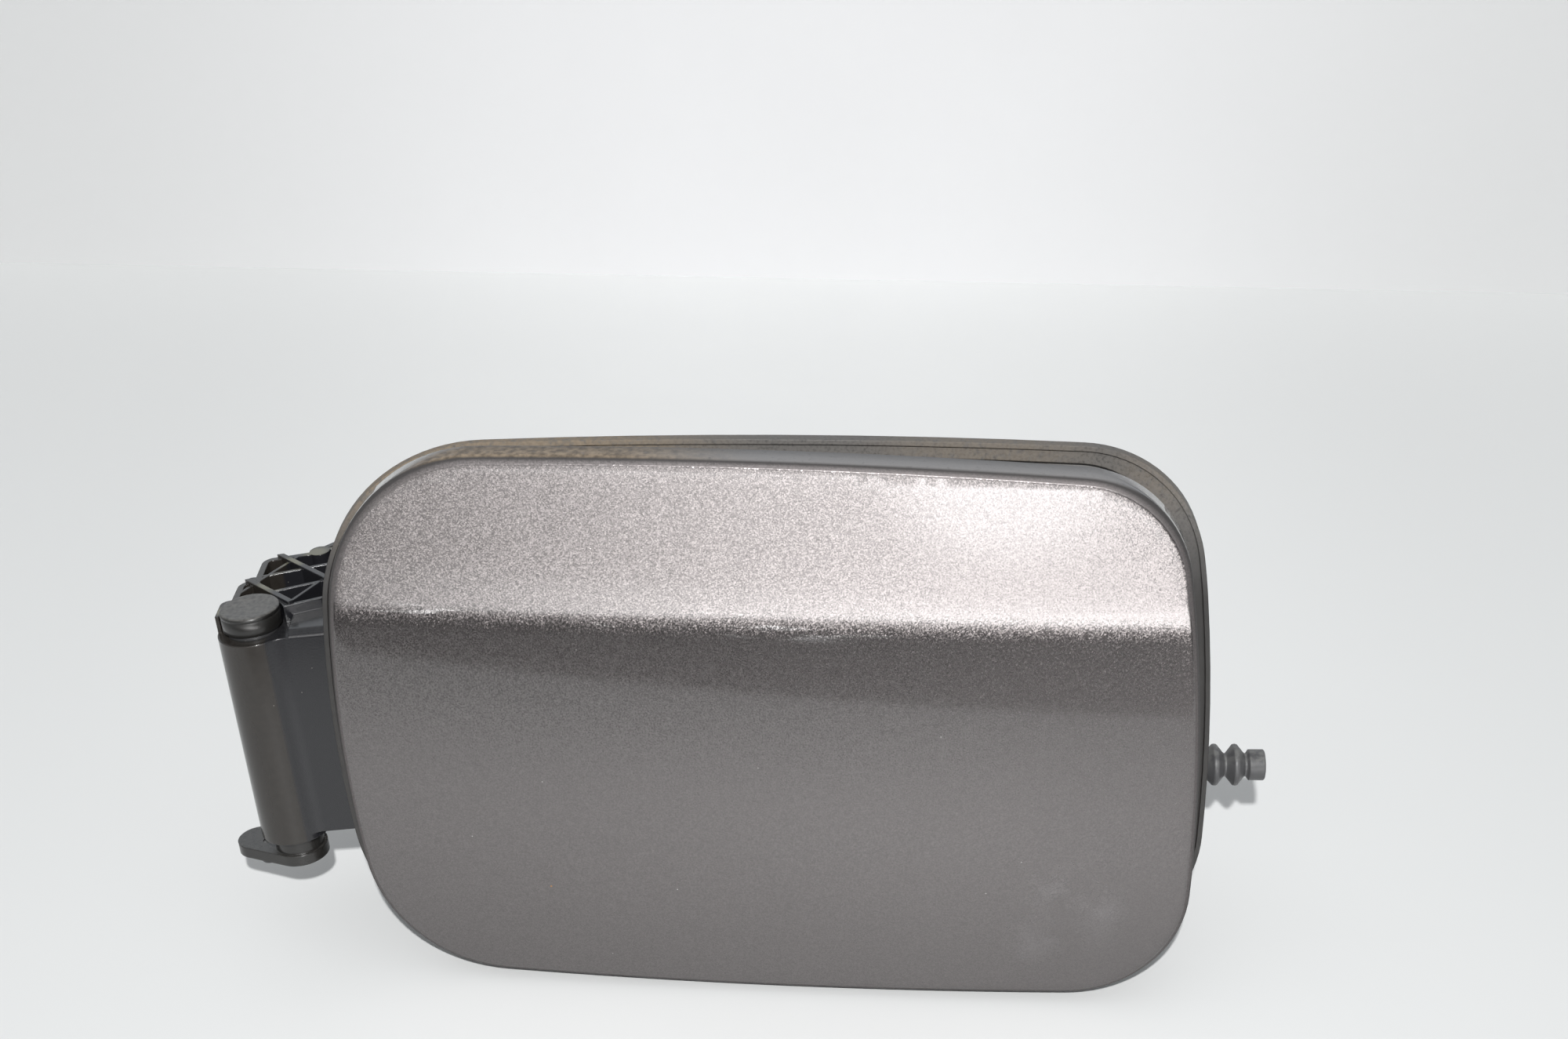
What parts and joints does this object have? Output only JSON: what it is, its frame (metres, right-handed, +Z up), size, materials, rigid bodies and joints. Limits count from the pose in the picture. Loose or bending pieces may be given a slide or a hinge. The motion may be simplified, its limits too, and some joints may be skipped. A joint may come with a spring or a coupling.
{
  "type": "car fuel door",
  "caption": "Car fuel door in its filler pot: painted creased flap on a swan-neck hinge, ribbed hinge housing, lip seal, lock gaiter and neck gasket, standing slightly ajar",
  "frame": {"origin": "middle of the filler neck's bore, on its axis and half way through the gasket", "axes": "+X from the hinge to the lock along the door, +Y into the car along the filler neck, +Z up"},
  "size_m": [0.2623, 0.0879, 0.1421],
  "materials": {
    "grey_paint": "gloss",
    "pot_plastic": "satin",
    "carrier_plastic": "satin",
    "cap_plastic": "matte",
    "seal_rubber": "matte",
    "gaiter_rubber": "satin",
    "bush_plastic": "satin",
    "steel": "satin"
  },
  "bodies": {
    "pot": {"filler_pot": "pot_plastic", "rim_seal": "seal_rubber", "neck_gasket": "gaiter_rubber", "lock_guide": "bush_plastic", "lock_gaiter": "gaiter_rubber", "hinge_spring": "steel", "stop_buffers": "gaiter_rubber", "fixing_clips": "steel", "upper_bush": "bush_plastic", "lower_bush": "bush_plastic"},
    "door": {"door_skin": "grey_paint", "door_carrier": "carrier_plastic", "skin_clips": "steel", "lock_eye": "carrier_plastic", "eye_screws": "steel", "cap_hook": "carrier_plastic", "hinge_pin": "steel", "pin_cap": "cap_plastic", "crank_lever": "cap_plastic", "crank_peg": "gaiter_rubber", "pin_retainer": "steel"}
  },
  "joints": [
    {"name": "door_hinge", "type": "hinge", "parent": "pot", "child": "door", "pos_m": [-0.12873, -0.04075, -0.0074], "axis": [0.1077, 0, -0.9942], "range_deg": [-4, 76]}
  ]
}
